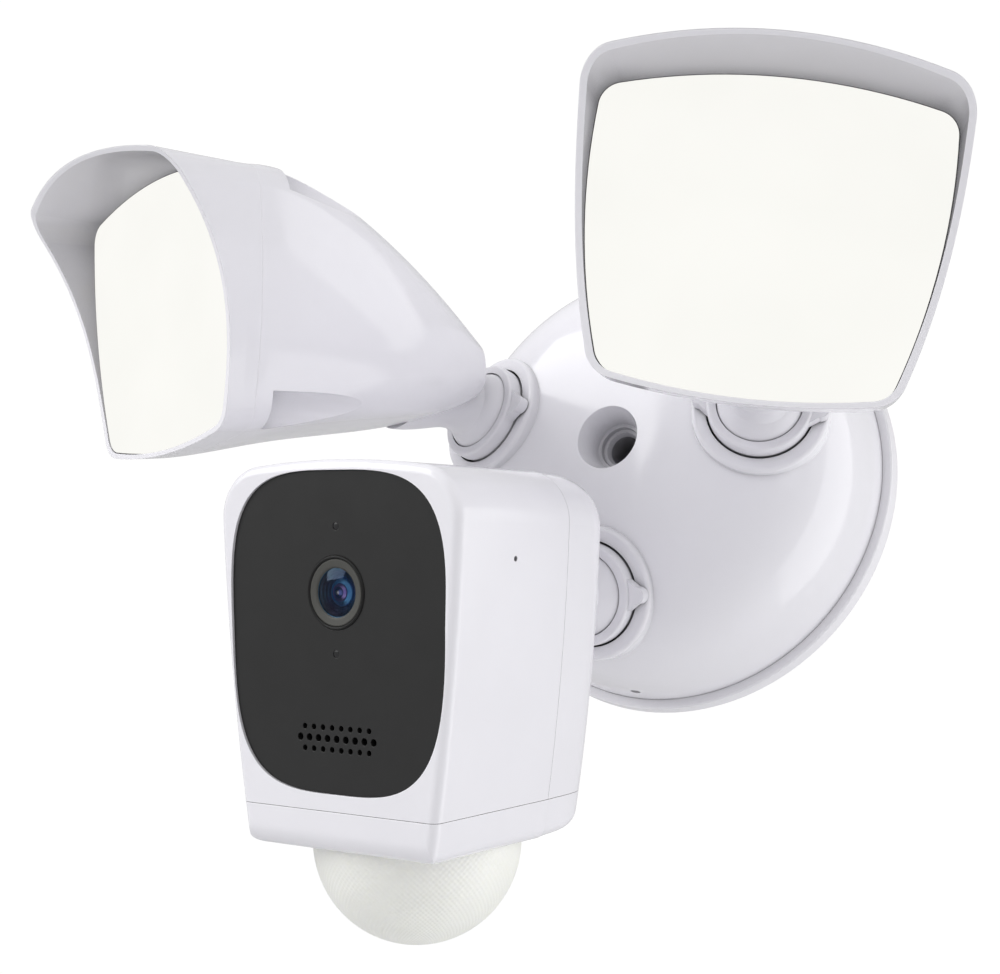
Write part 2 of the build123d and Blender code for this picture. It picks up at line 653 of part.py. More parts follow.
def make_camera_shells(plane):
    upright = Plane(origin=plane.origin, x_dir=plane.z_dir, z_dir=plane.x_dir * -1)
    lowest = HEAD_LOW - HEAD_SAG
    with BuildSketch(upright) as corner:
        with BuildLine():
            RadiusArc((RIM_STEP - CHIN_R, lowest), (RIM_STEP, lowest + CHIN_R), -CHIN_R)
            Polyline((RIM_STEP, lowest + CHIN_R), (RIM_STEP + 3, lowest + CHIN_R), (RIM_STEP + 3, lowest - 3),
                     (RIM_STEP - CHIN_R, lowest - 3), (RIM_STEP - CHIN_R, lowest))
        make_face()
    with BuildPart() as front_form:
        loft([head_outline(plane, RIM_STEP, 0), head_outline(plane, REAR_SEAM, 0)])
        fillet(front_form.faces().sort_by(Axis(plane.origin, plane.z_dir))[-1].edges(), 2.4)
        extrude(corner.sketch, amount=HEAD_TOP + 5, both=True, mode=Mode.SUBTRACT)
    with BuildPart() as front_hollow:
        loft([head_outline(plane, -4.2, SHELL), head_outline(plane, REAR_SEAM, SHELL)])
    with BuildPart() as rear_form:
        loft([head_outline(plane, back, inset) for back, inset in REAR_STATIONS])
    with BuildPart() as rear_hollow:
        loft([head_outline(plane, back + (SHELL if back < REAR_SEAM else 0), inset + SHELL)
              for back, inset in REAR_STATIONS])

    upper = above(plane, BOTTOM_SEAM + SEAM / 2)
    lower = above(plane, BOTTOM_SEAM - SEAM / 2)
    with BuildPart() as front:
        add(front_form.part)
        add(front_hollow.part, mode=Mode.SUBTRACT)
        extrude(panel_outline(plane, -PANEL_T, 0.1), amount=10, mode=Mode.SUBTRACT)
        extrude(panel_outline(plane, -8, -2.4), amount=10, mode=Mode.SUBTRACT)
        split(bisect_by=upper, keep=Keep.TOP)
        for across, up in SHELL_SCREWS:
            with Locations(plane.offset(REAR_SEAM)):
                with Locations((across, up)):
                    Cylinder(4, 14, align=UP)
                rib_end = side_of(across) * (RIB_REACH[0] if up > 0 else RIB_REACH[1])
                with Locations(((across + rib_end) / 2, up)):
                    Box(abs(rib_end - across), 2, 14, align=UP)
                with Locations((across, up)):
                    Cylinder(SCREW_R, 14, align=UP, mode=Mode.SUBTRACT)
        with Locations(Plane(origin=plane.from_local_coords((30, MIC_UP, MIC_BACK)), z_dir=plane.x_dir)):
            Cylinder(0.7, 14, align=UP, mode=Mode.SUBTRACT)
    save(front, "front_shell")

    with BuildPart() as rear:
        add(rear_form.part)
        add(rear_hollow.part, mode=Mode.SUBTRACT)
        split(bisect_by=upper, keep=Keep.TOP)
        for across, up in SHELL_SCREWS:
            with Locations(plane.offset(REAR_SEAM)):
                with Locations((across, up)):
                    Cylinder(4, HEAD_DEPTH + REAR_SEAM - 1, align=DOWN)
                    Cylinder(SCREW_R, 30, align=DOWN, mode=Mode.SUBTRACT)
            with Locations(plane.offset(-HEAD_DEPTH + 4)):
                with Locations((across, up)):
                    Cylinder(HEAD_R + 0.2, 9, align=DOWN, mode=Mode.SUBTRACT)
        with Locations(plane.offset(-HEAD_DEPTH - 1)):
            with Locations(BUTTON_AT):
                Cylinder(3.3, 9, align=UP, mode=Mode.SUBTRACT)
            with Locations((0, HEAD_PIVOT[1])):
                Cylinder(WIRE_R, 9, align=UP, mode=Mode.SUBTRACT)
                with PolarLocations(11, 3, 90):
                    Cylinder(SCREW_R, 9, align=UP, mode=Mode.SUBTRACT)
        split(bisect_by=plane.offset(REAR_SEAM - SEAM), keep=Keep.BOTTOM)
    save(rear, "rear_shell")

    with BuildPart() as cover:
        add(front_form.part)
        add(rear_form.part)
        split(bisect_by=lower, keep=Keep.BOTTOM)
        add(front_hollow.part, mode=Mode.SUBTRACT)
        add(rear_hollow.part, mode=Mode.SUBTRACT)
        with Locations(Plane(origin=plane.from_local_coords((0, HEAD_LOW - 2, PIR_F)), z_dir=plane.y_dir)):
            Cylinder(PIR_HOLE_R, 9, align=UP, mode=Mode.SUBTRACT)
    save(cover, "bottom_cover")

    seal_back = REAR_SEAM - SHELL_SEAL_T
    inside = SHELL + SHELL_SEAL_GAP
    with BuildPart() as seal:
        extrude(head_outline(plane, seal_back, inside), amount=SHELL_SEAL_T)
        extrude(head_outline(plane, seal_back, inside + SHELL_SEAL_W), amount=SHELL_SEAL_T, mode=Mode.SUBTRACT)
    save(seal, "shell_seal")

    with BuildPart() as screws:
        for across, up in SHELL_SCREWS:
            with Locations(plane.offset(-HEAD_DEPTH + 4)):
                with Locations((across, up)):
                    Cylinder(HEAD_R, HEAD_H, align=DOWN)
                    Cylinder(SCREW_R, 22, align=UP)
    save(screws, "shell_screws")


def make_camera_front(plane):
    with BuildPart() as panel:
        extrude(panel_outline(plane, -PANEL_T, 0), amount=PANEL_T)
        with Locations(plane.offset(-5)):
            with Locations((0, LENS_U)):
                Cylinder(LENS_RING_R + 0.03, 9, align=UP, mode=Mode.SUBTRACT)
            with Locations((0, DOT_U[0]), (0, DOT_U[1])):
                Cylinder(DOT_R, 9, align=UP, mode=Mode.SUBTRACT)
            with Locations((0, SPEAKER_U)):
                with GridLocations(2.98, 5.4, 8, 2):
                    Cylinder(0.75, 9, align=UP, mode=Mode.SUBTRACT)
                with GridLocations(2.98, 1, 9, 1):
                    Cylinder(0.95, 9, align=UP, mode=Mode.SUBTRACT)
    save(panel, "front_panel")

    with BuildPart() as ring:
        with Locations(plane.offset(-6)):
            with Locations((0, LENS_U)):
                Cylinder(LENS_RING_R, 6.7, align=UP)
                Cylinder(LENS_GLASS_R, 9, align=UP, mode=Mode.SUBTRACT)
        fillet(ring.faces().sort_by(Axis(plane.origin, plane.z_dir))[-1].edges(), 0.5)
    save(ring, "lens_ring")

    glass_centre = plane.from_local_coords((0, LENS_U, -13))
    with BuildPart() as glass:
        with Locations(plane.offset(-3)):
            with Locations((0, LENS_U)):
                Cylinder(LENS_GLASS_R, 6, align=UP)
        with Locations(glass_centre):
            Sphere(13.4, mode=Mode.INTERSECT)
    save(glass, "lens_glass")

    with BuildPart() as barrel:
        with Locations(plane.offset(-6)):
            with Locations((0, LENS_U)):
                Cylinder(7.2, 14, align=DOWN)
                Cylinder(LENS_GLASS_R - 0.6, 3, align=UP)
    save(barrel, "lens_barrel")

    with BuildPart() as sensor:
        with Locations(plane.offset(-20)):
            with Locations((0, LENS_U)):
                Box(24, 24, 1.2, align=DOWN)
    save(sensor, "sensor_board")

    for name, up in (("status_light", DOT_U[0]), ("light_sensor", DOT_U[1])):
        with BuildPart() as dot:
            with Locations(plane.offset(-4.5)):
                with Locations((0, up)):
                    Cylinder(DOT_R, 4.2, align=UP)
        save(dot, name)


def make_camera_inside(plane):
    with BuildPart() as speaker:
        with Locations(plane.offset(-4.2)):
            with Locations((0, SPEAKER_U)):
                Cylinder(13, 3, align=DOWN)
                Cylinder(8, 7, align=DOWN)
    save(speaker, "speaker")

    with BuildPart() as board:
        with BuildSketch(plane.offset(-31)):
            with Locations((0, -4)):
                RectangleRounded(48, 66, 2)
        extrude(amount=BOARD_T)
        with Locations(plane.offset(-31)):
            with Locations((2, 6)):
                Box(14, 14, 1.6, align=DOWN)
            with Locations((-12, -20)):
                Box(9, 11, 1.2, align=DOWN)
    save(board, "main_board")

    with BuildPart() as antenna:
        with Locations(plane.offset(-34)):
            with Locations((0, 37.4)):
                Box(30, 0.8, 9, align=UP)
    save(antenna, "wifi_antenna")

    with BuildPart() as microphone:
        with Locations(Plane(origin=plane.from_local_coords((33.2, MIC_UP, MIC_BACK)), z_dir=plane.x_dir)):
            Cylinder(2.2, 2, align=UP)
    save(microphone, "microphone")

    with BuildPart() as button:
        with Locations(plane.offset(-HEAD_DEPTH - 0.8)):
            with Locations(BUTTON_AT):
                Cylinder(3, 4, align=UP)
        with Locations(plane.offset(-HEAD_DEPTH + SHELL + 0.1)):
            with Locations(BUTTON_AT):
                Cylinder(4.3, 1, align=UP)
        fillet(button.faces().sort_by(Axis(plane.origin, plane.z_dir))[0].edges(), 0.6)
    save(button, "pairing_button")

    below = Plane(origin=plane.from_local_coords((0, 0, PIR_F)), x_dir=plane.x_dir, z_dir=plane.y_dir)
    upright = Plane(origin=below.origin, x_dir=plane.x_dir, z_dir=plane.x_dir.cross(plane.y_dir))
    with BuildSketch(upright) as section:
        with BuildLine():
            outer = CenterArc((0, PIR_U), PIR_R, -90, 90)
            inner = CenterArc((0, PIR_U), PIR_R - PIR_WALL, -90, 90)
            Line(outer @ 0, inner @ 0)
            Polyline(outer @ 1, (PIR_R, HEAD_LOW - 0.35), (PIR_R - PIR_WALL, HEAD_LOW - 0.35), inner @ 1)
        make_face()
    with BuildPart() as lens:
        revolve(section.sketch, Axis(below.origin, below.z_dir))
    save(lens, "pir_lens")

    floor = HEAD_LOW + SHELL
    with BuildPart() as pir_board:
        with Locations(below.offset(floor)):
            Cylinder(PIR_HOLE_R + 2, 1.2, align=UP)
    save(pir_board, "pir_board")

    with BuildPart() as pir_sensor:
        with Locations(below.offset(floor)):
            Cylinder(4.6, 4.4, align=DOWN)
    save(pir_sensor, "pir_sensor")


def make_camera_neck(plane):
    half, axis = neck_profile(plane, HEAD_PIVOT, 0, CAMERA_NECK, 0)
    reach = -HEAD_DEPTH - HEAD_PIVOT[2]
    with BuildPart() as neck:
        revolve(half, axis)
        with Locations(Plane(origin=axis.position, z_dir=axis.direction)):
            Sphere(BALL_R)
        with Locations(plane.offset(-HEAD_DEPTH)):
            with Locations((0, HEAD_PIVOT[1])):
                Cylinder(CAMERA_FLANGE_R, reach - CAMERA_NECK[-1][0], align=DOWN)
                Cylinder(WIRE_R, reach + BALL_R + 1, align=DOWN, mode=Mode.SUBTRACT)
                with PolarLocations(11, 3, 90):
                    Cylinder(SCREW_R, 2.6, align=DOWN, mode=Mode.SUBTRACT)
    save(neck, "camera_neck")

    with BuildPart() as screws:
        with Locations(plane.offset(-HEAD_DEPTH + SHELL)):
            with Locations((0, HEAD_PIVOT[1])):
                with PolarLocations(11, 3, 90):
                    Cylinder(HEAD_R, HEAD_H, align=UP)
                    Cylinder(SCREW_R, SHELL + 2.6, align=DOWN)
    save(screws, "neck_screws")


make_dome()
make_back_plate()
make_base_parts()
make_power_supply()
make_joint_seals()
for name in POSES:
    make_joint(name)
for name in ("left_lamp", "right_lamp"):
    make_lamp(name)
camera = head_plane("camera", HEAD_PIVOT)
make_camera_shells(camera)
make_camera_front(camera)
make_camera_inside(camera)
make_camera_neck(camera)
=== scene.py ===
from math import cos, pi, radians, sin

import bmesh
import bpy
from mathutils import Matrix, Vector


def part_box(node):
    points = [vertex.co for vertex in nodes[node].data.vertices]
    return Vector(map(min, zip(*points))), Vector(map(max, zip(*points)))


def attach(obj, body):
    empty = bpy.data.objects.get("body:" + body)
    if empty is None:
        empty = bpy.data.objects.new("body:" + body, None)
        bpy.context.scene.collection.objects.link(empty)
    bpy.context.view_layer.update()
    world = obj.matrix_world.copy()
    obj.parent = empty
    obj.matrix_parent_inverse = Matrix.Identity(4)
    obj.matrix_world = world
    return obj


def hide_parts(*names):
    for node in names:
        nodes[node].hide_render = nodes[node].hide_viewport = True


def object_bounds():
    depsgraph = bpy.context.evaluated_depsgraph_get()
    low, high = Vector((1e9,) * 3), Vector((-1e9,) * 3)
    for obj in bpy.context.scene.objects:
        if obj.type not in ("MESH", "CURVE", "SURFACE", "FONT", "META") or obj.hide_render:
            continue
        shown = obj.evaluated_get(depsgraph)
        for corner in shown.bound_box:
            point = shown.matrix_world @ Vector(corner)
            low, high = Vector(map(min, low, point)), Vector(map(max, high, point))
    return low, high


# The looks of a floodlight security camera. Metres, +Z up, wall at y = 0, object towards -Y.

MM = 0.001

# ---- camera: where it looks from, its roll, and how far its aim is off the origin -----------
VIEW_AZIMUTH = 33.326
VIEW_ELEVATION = -16.516
VIEW_ROLL = 10.342
VIEW_DISTANCE = 0.62886
AIM_ACROSS = -0.0603
AIM_UP = 0.00419
FOCAL_LENGTH = 70.748       # millimetres, on a sensor 36 mm wide

# ---- studio ---------------------------------------------------------------------------------
FLOOR_Z = -1.0
FLOOR_R = 2.6
BACKDROP_R = 6.0
SKY_STRENGTH = 0.545
LIGHT_DISTANCE = 1.5
# name: azimuth and elevation it shines from, its width and height, watts
SOFTBOXES = {
    "front_left": (-45.0, 22.0, 1.0, 1.2, 13.5),
    "side_right": (119.0, -5.0, 1.05, 2.8, 13.0),
    "right_front": (52.0, 25.0, 1.0, 1.2, 3.8),
    "top_front": (-10.0, 52.0, 1.4, 1.0, 1.4),
}

# ---- camera optics: distances in front of the face are positive -----------------------------
WINDOW_R = 0.98 * MM
WINDOW_FOOT = -1.6 * MM
DOT_BELOW_FACE = 2.4 * MM       # centre of the small windows behind the black face
LENS_R = 9.23 * MM
BEZEL_FOOT = -6.0 * MM
BEZEL_PROUD = 0.42 * MM         # the bezel's rim in front of the face
BEZEL_SHOULDER = 0.05 * MM
TRIM_R = 8.35 * MM
TRIM_FOOT = -1.2 * MM
TRIM_GROOVES = 5
GLASS_R = 6.1 * MM
GLASS_CROWN = 1.15 * MM
GLASS_RIM = -0.35 * MM
ELEMENT_EDGE = 0.5 * MM         # straight edge behind each inner element's crown
# stepped well behind the front element: radius and depth of each step
WELL_STEPS = [(5.3 * MM, 0.7 * MM), (4.7 * MM, 1.3 * MM), (4.1 * MM, 1.9 * MM), (3.5 * MM, 2.4 * MM)]
# inner elements: name, radius, crown, depth, colour
ELEMENTS = [
    ("lens_second", 3.5 * MM, 0.95 * MM, 2.2 * MM, (0.14, 0.40, 0.80)),
    ("lens_iris", 2.3 * MM, 0.75 * MM, 1.5 * MM, (0.50, 0.36, 0.95)),
    ("lens_third", 1.45 * MM, 0.65 * MM, 1.05 * MM, (0.26, 0.32, 0.85)),
    ("lens_centre", 0.75 * MM, 0.32 * MM, 0.62 * MM, (0.95, 0.93, 0.98)),
]

# ---- motion sensor --------------------------------------------------------------------------
PIR_BELOW_BOARD = 3.4 * MM      # centre of the dome below the centre of its board
PIR_OVERLAP = 2.0               # degrees of straight skirt above the dome's equator
LENSLETS = 104                  # around the equator
LENSLET_STEPS = 6               # mesh steps across one lenslet
LENSLET_DEPTH = 0.11 * MM
PIR_WHITE = (0.93, 0.935, 0.88)

# ---- screws ---------------------------------------------------------------------------------
SCREW_PITCH = 0.8 * MM
SCREW_TURN = 1.1                # each screw stands turned by this much more than the last, radians
SCREW_LEVEL = 1e-5              # vertices this close in height belong to one flat end
SCREW_SMOOTH_AREA = 0.4 * MM * MM   # faces smaller than this are shaded smooth

# ---- painted shade in recesses --------------------------------------------------------------
CAVITY_REACH = 14.0 * MM
CAVITY_DEEP = 0.18
CAVITY_OPEN = 0.72

# ---- plastic colours ------------------------------------------------------------------------
WHITE = (0.862, 0.853, 0.896)
FLANGE_WHITE = (0.87, 0.86, 0.90)
JOINT_WHITE = (0.83, 0.82, 0.865)


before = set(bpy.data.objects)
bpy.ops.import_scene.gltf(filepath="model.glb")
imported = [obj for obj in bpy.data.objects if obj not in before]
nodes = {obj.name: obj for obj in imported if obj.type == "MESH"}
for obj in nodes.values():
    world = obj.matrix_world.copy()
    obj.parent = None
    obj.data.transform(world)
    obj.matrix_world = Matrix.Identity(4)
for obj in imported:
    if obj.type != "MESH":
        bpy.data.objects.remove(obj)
cad_low, cad_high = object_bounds()
HEADS = ("left_lamp", "right_lamp", "camera")
LAMPS = ("left_lamp", "right_lamp")


# ============================================================================================
# Where things are, read from the frame
# ============================================================================================
def middle(name):
    low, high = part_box(name)
    return (Vector(low) + Vector(high)) / 2


# ============================================================================================
# Materials
# ============================================================================================
class Graph:
    """A material and a short way to add nodes to it."""

    def __init__(self, name):
        self.material = bpy.data.materials.new(name)
        self.material.use_nodes = True
        self.tree = self.material.node_tree
        self.shader = self.tree.nodes["Principled BSDF"]
        self.object_space = self.add("ShaderNodeTexCoord").outputs["Object"]

    def add(self, kind, **values):
        node = self.tree.nodes.new(kind)
        for key, value in values.items():
            if key in node.inputs:
                node.inputs[key].default_value = value
            else:
                setattr(node, key, value)
        return node

    def link(self, source, target):
        self.tree.links.new(source, target)
        return target

    def shader_values(self, **values):
        for key, value in values.items():
            self.shader.inputs[key.replace("_", " ")].default_value = value

    def noise(self, size, detail=2.0, roughness=0.5, vector=None):
        """Noise with features about size metres across."""
        node = self.add("ShaderNodeTexNoise", Scale=1.0 / size, Detail=detail, Roughness=roughness)
        self.link(vector or self.object_space, node.inputs["Vector"])
        return node.outputs["Fac"]

    def spread(self, value, low, high, from_low=0.3, from_high=0.7):
        node = self.add("ShaderNodeMapRange")
        limits = {"From Min": from_low, "From Max": from_high, "To Min": low, "To Max": high}
        for key, number in limits.items():
            node.inputs[key].default_value = number
        self.link(value, node.inputs["Value"])
        return node.outputs["Result"]

    def maths(self, operation, first, second):
        node = self.add("ShaderNodeMath", operation=operation)
        for index, value in enumerate((first, second)):
            if isinstance(value, (int, float)):
                node.inputs[index].default_value = value
            else:
                self.link(value, node.inputs[index])
        return node.outputs["Value"]

    def blend(self, share, first, second, mode="MIX"):
        node = self.add("ShaderNodeMix", data_type="RGBA", blend_type=mode)
        for socket, value in ((node.inputs[0], share), (node.inputs[6], first), (node.inputs[7], second)):
            if isinstance(value, (int, float)):
                socket.default_value = value
            elif isinstance(value, tuple):
                socket.default_value = (*value[:3], 1.0)
            else:
                self.link(value, socket)
        return node.outputs[2]

    def edges(self, radius):
        """0 on flat stretches, towards 1 where the surface turns sharply within radius."""
        bevel = self.add("ShaderNodeBevel", samples=4)
        bevel.inputs["Radius"].default_value = radius
        dot = self.add("ShaderNodeVectorMath", operation="DOT_PRODUCT")
        self.link(bevel.outputs["Normal"], dot.inputs[0])
        self.link(self.add("ShaderNodeNewGeometry").outputs["Normal"], dot.inputs[1])
        return self.spread(dot.outputs["Value"], 1.0, 0.0, 0.86, 1.0)

    def cavities(self, reach):
        """Towards 0 deep in recesses and narrow gaps, 1 on open surfaces."""
        node = self.add("ShaderNodeAmbientOcclusion", samples=6)
        node.inputs["Distance"].default_value = reach
        return node.outputs["AO"]

    def bump(self, height, strength, distance, rounding=0.0):
        node = self.add("ShaderNodeBump")
        node.inputs["Strength"].default_value = strength
        node.inputs["Distance"].default_value = distance
        self.link(height, node.inputs["Height"])
        if rounding:
            bevel = self.add("ShaderNodeBevel", samples=4)
            bevel.inputs["Radius"].default_value = rounding
            self.link(bevel.outputs["Normal"], node.inputs["Normal"])
        self.link(node.outputs["Normal"], self.shader.inputs["Normal"])
        return node


def shade(colour, factor):
    return tuple(min(1.0, channel * factor) for channel in colour)


def moulded(name, colour, gloss, peel=0.02, rounding=0.3 * MM, edge_highlight=1.05, specular=0.5, coat=0.0, recess_shade=0.0):
    """Injection-moulded plastic: soft orange peel, faint clouding, slightly rougher edges and a painted
    highlight along them.

    The last argument sets the painted shade in recesses: how much darker the bottom of a recess is than an
    open surface.
    """
    graph = Graph(name)
    cloud = graph.noise(22 * MM, detail=3.0)
    grain = graph.noise(0.35 * MM, detail=1.0)
    edge_wear_and_highlight = graph.edges(0.6 * MM)
    tinted = graph.blend(graph.spread(cloud, 0.0, 1.0), shade(colour, 0.988), shade(colour, 1.01))
    speckled = graph.blend(graph.spread(grain, 0.0, 0.35), tinted, shade(colour, 0.985))
    # painted highlight: the colour is lighter along sharp edges
    painted_light_colour = graph.blend(edge_wear_and_highlight, speckled, shade(colour, edge_highlight))
    # painted shade: the colour darkens deep in recesses and narrow gaps, within the occlusion reach
    if recess_shade:
        open_share = graph.spread(graph.cavities(CAVITY_REACH), 1.0, 0.0, CAVITY_DEEP, CAVITY_OPEN)
        painted_light_colour = graph.blend(open_share, painted_light_colour, shade(colour, 1.0 - recess_shade))
    graph.link(painted_light_colour, graph.shader.inputs["Base Color"])
    smudge = graph.noise(9 * MM, detail=4.0, roughness=0.6)
    smudged = graph.spread(smudge, gloss - 0.02, gloss + 0.03)
    rough = graph.maths("ADD", smudged, graph.spread(edge_wear_and_highlight, 0.0, 0.05, 0.0, 1.0))
    graph.link(rough, graph.shader.inputs["Roughness"])
    ripples = graph.noise(1.6 * MM, detail=2.0)
    height = graph.maths("ADD", ripples, graph.maths("MULTIPLY", grain, 0.12))
    graph.bump(height, peel, 0.2 * MM, rounding)
    graph.shader_values(Specular_IOR_Level=specular, Coat_Weight=coat, Coat_Roughness=0.06)
    return graph.material


def rubber(name, colour, gloss=0.6, size=0.25 * MM, depth=0.25):
    graph = Graph(name)
    pores = graph.noise(size, detail=3.0, roughness=0.7)
    dust = graph.noise(5 * MM, detail=4.0)
    dusted = graph.blend(graph.spread(dust, 0.0, 0.5), colour, shade(colour, 1.5))
    # painted highlight: the colour is lighter along sharp edges
    lit_rubber_edges = graph.blend(graph.edges(0.3 * MM), dusted, shade(colour, 1.7))
    graph.link(lit_rubber_edges, graph.shader.inputs["Base Color"])
    graph.link(graph.spread(pores, gloss - 0.06, gloss + 0.1), graph.shader.inputs["Roughness"])
    graph.bump(pores, depth, 0.05 * MM, 0.15 * MM)
    return graph.material


def metal(name, colour, gloss=0.3, streak=None, size=0.2 * MM, depth=0.15):
    """Metal with fine grain, brushed along one axis when streak gives its scale."""
    graph = Graph(name)
    vector = graph.object_space
    if streak:
        stretch = graph.add("ShaderNodeMapping")
        stretch.inputs["Scale"].default_value = streak
        graph.link(graph.object_space, stretch.inputs["Vector"])
        vector = stretch.outputs["Vector"]
    grain = graph.noise(size, detail=3.0, vector=vector)
    cloud = graph.noise(3 * MM, detail=3.0)
    toned = graph.blend(graph.spread(cloud, 0.0, 1.0), shade(colour, 0.86), shade(colour, 1.08))
    # painted highlight: the colour is lighter along sharp edges
    lit_metal_edges = graph.blend(graph.edges(0.2 * MM), toned, shade(colour, 1.25))
    graph.link(lit_metal_edges, graph.shader.inputs["Base Color"])
    graph.link(graph.spread(grain, gloss - 0.07, gloss + 0.12), graph.shader.inputs["Roughness"])
    graph.bump(grain, depth, 0.02 * MM, 0.1 * MM)
    graph.shader_values(Metallic=1.0)
    return graph.material


def lit_diffuser():
    """Opal cover over the lit LEDs: an even warm white glow with a faint prismatic texture."""
    graph = Graph("lit_diffuser")
    dimple = graph.noise(1.2 * MM, detail=1.0)
    share = graph.spread(graph.noise(26 * MM, detail=2.0), 0.0, 1.0)
    glow = graph.blend(share, (0.93, 0.925, 0.885), (0.95, 0.944, 0.905))
    graph.link(glow, graph.shader.inputs["Emission Color"])
    graph.link(graph.spread(dimple, 0.4, 0.5), graph.shader.inputs["Roughness"])
    graph.bump(dimple, 0.15, 0.05 * MM)
    graph.shader_values(Base_Color=(0.02, 0.02, 0.02, 1.0), Specular_IOR_Level=0.0, Emission_Strength=1.0)
    return graph.material


def coating(name, colour, gloss=0.3):
    """Satin metallic tint that stands for the interference coating inside the lens."""
    graph = Graph(name)
    tint = graph.blend(graph.spread(graph.noise(2.5 * MM), 0.0, 1.0), colour, shade(colour, 1.5))
    graph.link(tint, graph.shader.inputs["Base Color"])
    rough = graph.spread(graph.noise(0.5 * MM), gloss - 0.02, gloss + 0.03)
    graph.link(rough, graph.shader.inputs["Roughness"])
    graph.shader_values(Metallic=1.0)
    return graph.material


def coated_glass():
    """Clear front element: a thin reflecting skin that lets the pieces behind it show."""
    graph = Graph("coated_glass")
    tree = graph.tree
    clear = tree.nodes.new("ShaderNodeBsdfTransparent")
    clear.inputs["Color"].default_value = (0.92, 0.94, 1.0, 1.0)
    graph.shader_values(Base_Color=(0.0, 0.0, 0.0, 1.0), Specular_IOR_Level=1.0)
    graph.link(graph.spread(graph.noise(3 * MM, detail=2.0), 0.015, 0.05), graph.shader.inputs["Roughness"])
    tint = graph.blend(graph.spread(graph.noise(6 * MM), 0.0, 1.0), (0.55, 0.45, 1.0), (0.35, 0.7, 1.0))
    graph.link(tint, graph.shader.inputs["Specular Tint"])
    fresnel = graph.add("ShaderNodeFresnel", IOR=1.9)
    mix = tree.nodes.new("ShaderNodeMixShader")
    graph.link(graph.spread(fresnel.outputs["Fac"], 0.30, 1.0, 0.0, 1.0), mix.inputs[0])
    graph.link(clear.outputs[0], mix.inputs[1])
    graph.link(graph.shader.outputs[0], mix.inputs[2])
    graph.link(mix.outputs[0], tree.nodes["Material Output"].inputs["Surface"])
    return graph.material


def clad(names, material):
    for name in names:
        mesh = nodes[name].data
        mesh.materials.clear()
        mesh.materials.append(material)


# ============================================================================================
# Studio
# ============================================================================================
def shown_direction(azimuth, elevation):
    a = radians(azimuth)
    e = radians(elevation)
    return Vector((sin(a) * cos(e), -cos(a) * cos(e), sin(e)))


def make_camera():
    back = shown_direction(VIEW_AZIMUTH, VIEW_ELEVATION)
    level = Vector((cos(radians(VIEW_AZIMUTH)), sin(radians(VIEW_AZIMUTH)), 0.0))
    upright = back.cross(level)
    c = cos(radians(VIEW_ROLL))
    s = sin(radians(VIEW_ROLL))
    across = level * c + upright * s
    up = upright * c - level * s
    data = bpy.data.cameras.new("view")
    data.sensor_width = 36.0
    data.lens = FOCAL_LENGTH
    data.clip_start = 0.02
    data.clip_end = 30.0
    camera = bpy.data.objects.new("view", data)
    spot = back * VIEW_DISTANCE + across * AIM_ACROSS + up * AIM_UP
    turn = Matrix((across, up, back)).transposed().to_4x4()
    camera.matrix_world = Matrix.Translation(spot) @ turn
    bpy.context.collection.objects.link(camera)
    bpy.context.scene.camera = camera


def make_softbox(name, azimuth, elevation, width, height, watts):
    data = bpy.data.lights.new(name, "AREA")
    data.shape = "RECTANGLE"
    data.size = width
    data.size_y = height
    data.energy = watts
    light = bpy.data.objects.new(name, data)
    direction = shown_direction(azimuth, elevation)
    light.location = (cad_low + cad_high) / 2 + direction * LIGHT_DISTANCE
    light.rotation_euler = direction.to_track_quat("Z", "Y").to_euler()
    bpy.context.collection.objects.link(light)


def staged(name, mesh, material):
    piece = bpy.data.objects.new(name, mesh)
    mesh.materials.append(material)
    bpy.context.collection.objects.link(piece)
    return piece


def make_stage():
    floor = bpy.data.meshes.new("floor")
    bm = bmesh.new()
    bmesh.ops.create_circle(bm, cap_ends=True, segments=96, radius=FLOOR_R)
    bmesh.ops.translate(bm, verts=bm.verts, vec=(0, 0, FLOOR_Z))
    bm.to_mesh(floor)
    bm.free()
    staged("floor", floor, moulded("pale_floor", (0.86, 0.86, 0.87), 0.6, rounding=0.0))

    backdrop = bpy.data.meshes.new("backdrop")
    bm = bmesh.new()
    bmesh.ops.create_icosphere(bm, subdivisions=4, radius=BACKDROP_R)
    bmesh.ops.reverse_faces(bm, faces=bm.faces)
    bm.to_mesh(backdrop)
    bm.free()
    white = bpy.data.materials.new("white_backdrop")
    white.use_nodes = True
    shader = white.node_tree.nodes["Principled BSDF"]
    shader.inputs["Base Color"].default_value = (0, 0, 0, 1)
    shader.inputs["Specular IOR Level"].default_value = 0.0
    shader.inputs["Emission Color"].default_value = (1, 1, 1, 1)
    shader.inputs["Emission Strength"].default_value = 1.02
    screen = staged("backdrop", backdrop, white)
    # it is only seen directly: the sky and the softboxes light the object
    screen.visible_diffuse = False
    screen.visible_glossy = False
    screen.visible_transmission = False
    screen.visible_shadow = False


def make_lighting():
    scene = bpy.context.scene
    scene.view_settings.view_transform = "Standard"
    world = bpy.data.worlds.new("sky")
    world.use_nodes = True
    background = world.node_tree.nodes["Background"]
    background.inputs["Color"].default_value = (1.0, 1.0, 1.0, 1.0)
    background.inputs["Strength"].default_value = SKY_STRENGTH
    scene.world = world
    for name, values in SOFTBOXES.items():
        make_softbox(name, *values)


# ============================================================================================
# Mesh building
# ============================================================================================
class Place:
    """A local frame: side, up and forward axes and an origin."""

    def __init__(self, origin, side, up, forward):
        self.origin = origin
        self.axes = (side, up, forward)

    def at(self, x, y, z):
        side, up, forward = self.axes
        return self.origin + side * x + up * y + forward * z

    def matrix(self):
        return Matrix.Translation(self.origin) @ Matrix(self.axes).transposed().to_4x4()


